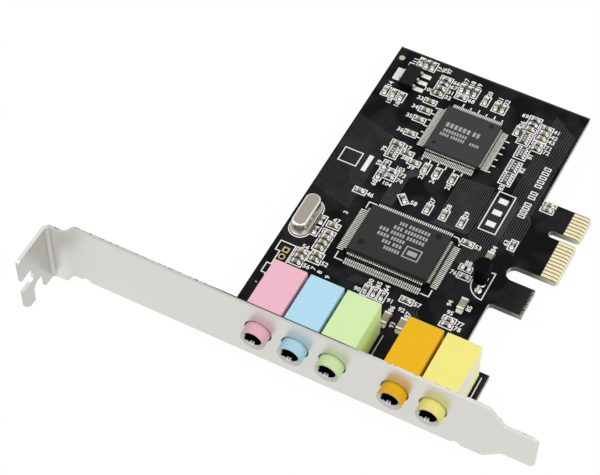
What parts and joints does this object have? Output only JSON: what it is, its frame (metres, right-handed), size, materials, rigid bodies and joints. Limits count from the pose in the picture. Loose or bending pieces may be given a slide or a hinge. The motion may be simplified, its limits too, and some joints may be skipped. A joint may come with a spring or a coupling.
{
  "type": "pci express sound card",
  "caption": "Expansion card with a keyed edge connector, coloured round audio jacks, flat chip packages and a folded slot bracket with screw tab and tongue.",
  "frame": {"origin": "middle of the key notch at the connector's outer edge, half way through the board", "axes": "+X along the bracket from screw tab to tongue, the way the card goes into its slot; +Y from the bracket to the board's far end; +Z out of the component side"},
  "size_m": [0.1201, 0.1056, 0.022],
  "materials": {
    "array_bodies": "glazed",
    "array_ends": "tinned",
    "audio_chip_body": "moulded",
    "audio_chip_leads": "tinned",
    "board": "black solder mask over glass epoxy",
    "bracket": "satin plated",
    "bracket_lugs": "satin plated",
    "bracket_screws": "tinned",
    "bridge_chip_body": "moulded",
    "bridge_chip_leads": "tinned",
    "contacts_component_side": "gold plated",
    "contacts_solder_side": "gold plated",
    "crystal_can": "satin",
    "crystal_pins": "tinned",
    "jack_1_contacts": "nickel plated",
    "jack_1_housing": "moulded",
    "jack_2_contacts": "nickel plated",
    "jack_2_housing": "moulded",
    "jack_3_contacts": "nickel plated",
    "jack_3_housing": "moulded",
    "jack_4_contacts": "nickel plated",
    "jack_4_housing": "moulded",
    "jack_5_contacts": "nickel plated",
    "jack_5_housing": "moulded",
    "large_capacitor_bodies": "fired",
    "large_capacitor_ends": "tinned",
    "regulator_body": "moulded",
    "regulator_leads": "tinned",
    "regulator_tab": "tinned",
    "resistor_bodies": "glazed",
    "resistor_ends": "tinned",
    "small_capacitor_bodies": "fired",
    "small_capacitor_ends": "tinned",
    "transistor_body": "moulded",
    "transistor_pins": "tinned"
  },
  "bodies": {
    "root": {"array_bodies": "array_bodies", "array_ends": "array_ends", "audio_chip_body": "audio_chip_body", "audio_chip_leads": "audio_chip_leads", "board": "board", "bracket": "bracket", "bracket_lugs": "bracket_lugs", "bracket_screws": "bracket_screws", "bridge_chip_body": "bridge_chip_body", "bridge_chip_leads": "bridge_chip_leads", "contacts_component_side": "contacts_component_side", "contacts_solder_side": "contacts_solder_side", "crystal_can": "crystal_can", "crystal_pins": "crystal_pins", "jack_1_contacts": "jack_1_contacts", "jack_1_housing": "jack_1_housing", "jack_2_contacts": "jack_2_contacts", "jack_2_housing": "jack_2_housing", "jack_3_contacts": "jack_3_contacts", "jack_3_housing": "jack_3_housing", "jack_4_contacts": "jack_4_contacts", "jack_4_housing": "jack_4_housing", "jack_5_contacts": "jack_5_contacts", "jack_5_housing": "jack_5_housing", "large_capacitor_bodies": "large_capacitor_bodies", "large_capacitor_ends": "large_capacitor_ends", "regulator_body": "regulator_body", "regulator_leads": "regulator_leads", "regulator_tab": "regulator_tab", "resistor_bodies": "resistor_bodies", "resistor_ends": "resistor_ends", "small_capacitor_bodies": "small_capacitor_bodies", "small_capacitor_ends": "small_capacitor_ends", "transistor_body": "transistor_body", "transistor_pins": "transistor_pins"}
  },
  "joints": []
}
